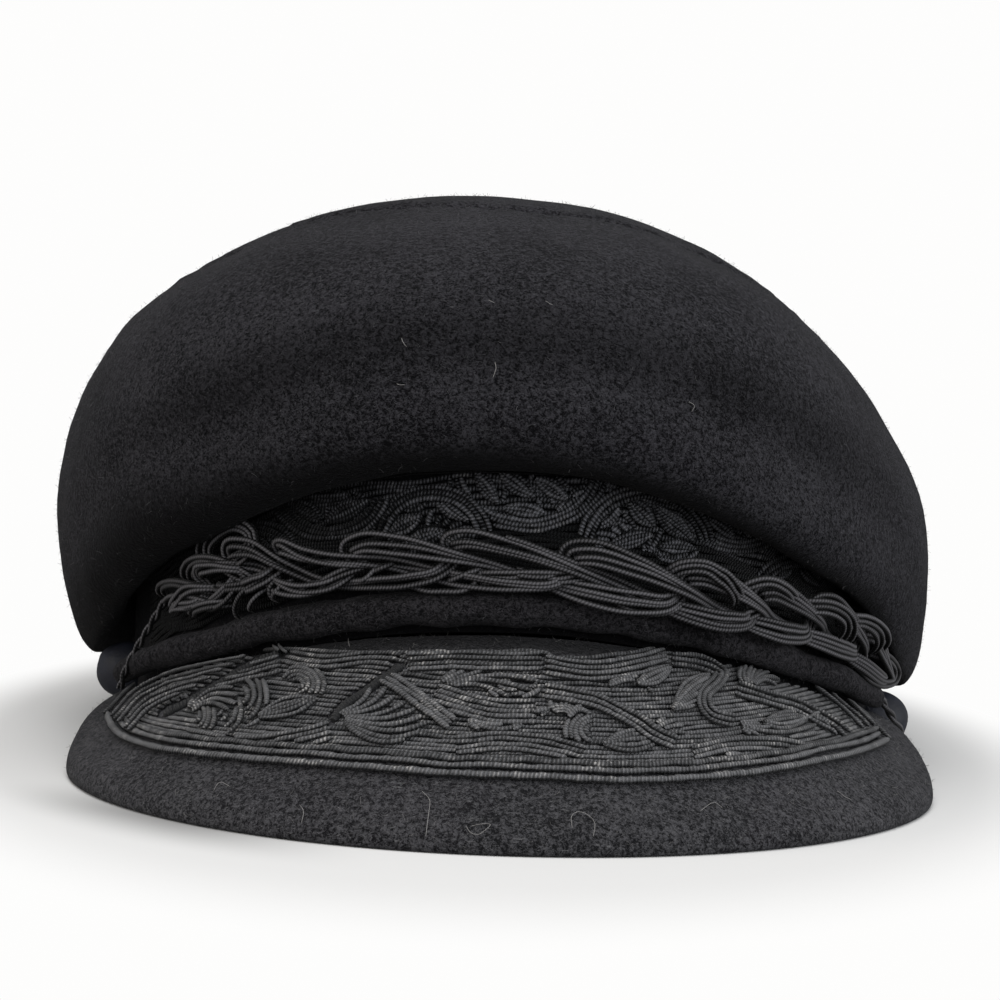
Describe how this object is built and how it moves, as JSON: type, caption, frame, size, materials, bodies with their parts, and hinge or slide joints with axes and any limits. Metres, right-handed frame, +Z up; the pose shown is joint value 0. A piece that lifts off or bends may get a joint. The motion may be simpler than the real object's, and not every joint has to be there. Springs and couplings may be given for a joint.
{
  "type": "greek fisherman cap",
  "caption": "Soft wool fisherman cap with a slouching crown, arched band, felt peak, embroidered panels and a plaited cord over the forehead.",
  "frame": {"origin": "middle of the cap's footprint, on the surface it rests on", "axes": "+Z up; the peak points along -Y; +X is on the right of someone who looks at the front"},
  "size_m": [0.194, 0.2664, 0.1185],
  "materials": {
    "crown_felt": "brushed black wool felt with a soft nap",
    "tip_felt": "brushed black wool felt with a soft nap",
    "band_felt": "black wool felt",
    "roll_felt": "black wool felt, softly padded",
    "peak_felt": "black wool felt over a stiff peak, slightly hairy",
    "peak_cord": "couched twisted cord, worn lighter on the high places",
    "front_cord": "couched twisted cord",
    "plait_cord": "thin round twisted cords with a soft sheen",
    "tie_cord": "thin round twisted cord",
    "button_cloth": "smooth dark navy cloth"
  },
  "bodies": {
    "root": {"crown_side": "crown_felt", "crown_tip": "tip_felt", "band": "band_felt", "band_roll": "roll_felt", "peak": "peak_felt", "peak_embroidery": "peak_cord", "front_embroidery": "front_cord", "braid_strand_1": "plait_cord", "braid_strand_2": "plait_cord", "braid_strand_3": "plait_cord", "braid_tie_left": "tie_cord", "braid_tie_right": "tie_cord", "side_button_left": "button_cloth", "side_button_right": "button_cloth"}
  },
  "joints": []
}
